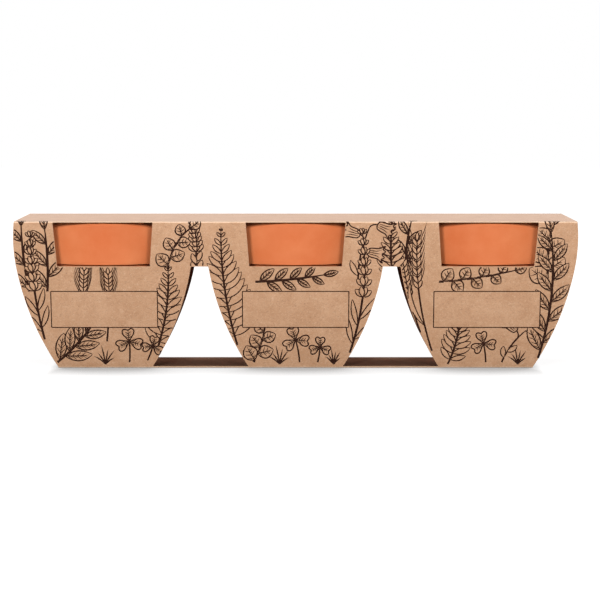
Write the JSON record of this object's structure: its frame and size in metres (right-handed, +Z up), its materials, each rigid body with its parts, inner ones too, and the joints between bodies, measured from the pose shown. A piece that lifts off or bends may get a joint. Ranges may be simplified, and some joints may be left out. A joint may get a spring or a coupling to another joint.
{
  "type": "herb planter set",
  "caption": "Row of terracotta herb pots held in one folded kraft-card sleeve with window cut-outs; the pots, each with a coir disc and seed sachet, slide out endways.",
  "frame": {"origin": "middle of the sleeve's footprint, on the surface it stands on", "axes": "+X along the row of pots, -Y to the printed front, +Z up"},
  "size_m": [0.2784, 0.0792, 0.0741],
  "materials": {
    "kraft_card": "matt uncoated kraft board",
    "terracotta": "unglazed matt",
    "coir": "pressed plant fibre",
    "seed_paper": "matt paper"
  },
  "bodies": {
    "sleeve": {"sleeve_front_panel": "kraft_card", "sleeve_back_panel": "kraft_card", "sleeve_top_panel": "kraft_card", "sleeve_base_panel": "kraft_card", "sleeve_glue_tabs": "kraft_card"},
    "left_pot": {"terracotta_pot_left": "terracotta", "coir_disc_left": "coir", "seed_sachet_left": "seed_paper"},
    "middle_pot": {"terracotta_pot_middle": "terracotta", "coir_disc_middle": "coir", "seed_sachet_middle": "seed_paper"},
    "right_pot": {"terracotta_pot_right": "terracotta", "coir_disc_right": "coir", "seed_sachet_right": "seed_paper"}
  },
  "joints": [
    {"name": "left_pot_slide", "type": "slide", "parent": "sleeve", "child": "left_pot", "axis": [-1, 0, 0], "range_m": [0, 0.185]},
    {"name": "middle_pot_slide", "type": "slide", "parent": "sleeve", "child": "middle_pot", "axis": [-1, 0, 0], "range_m": [0, 0.185]},
    {"name": "right_pot_slide", "type": "slide", "parent": "sleeve", "child": "right_pot", "axis": [1, 0, 0], "range_m": [0, 0.09]}
  ],
  "couplings": [
    {"joint": "middle_pot_slide", "follows": "left_pot_slide", "ratio": 1}
  ]
}
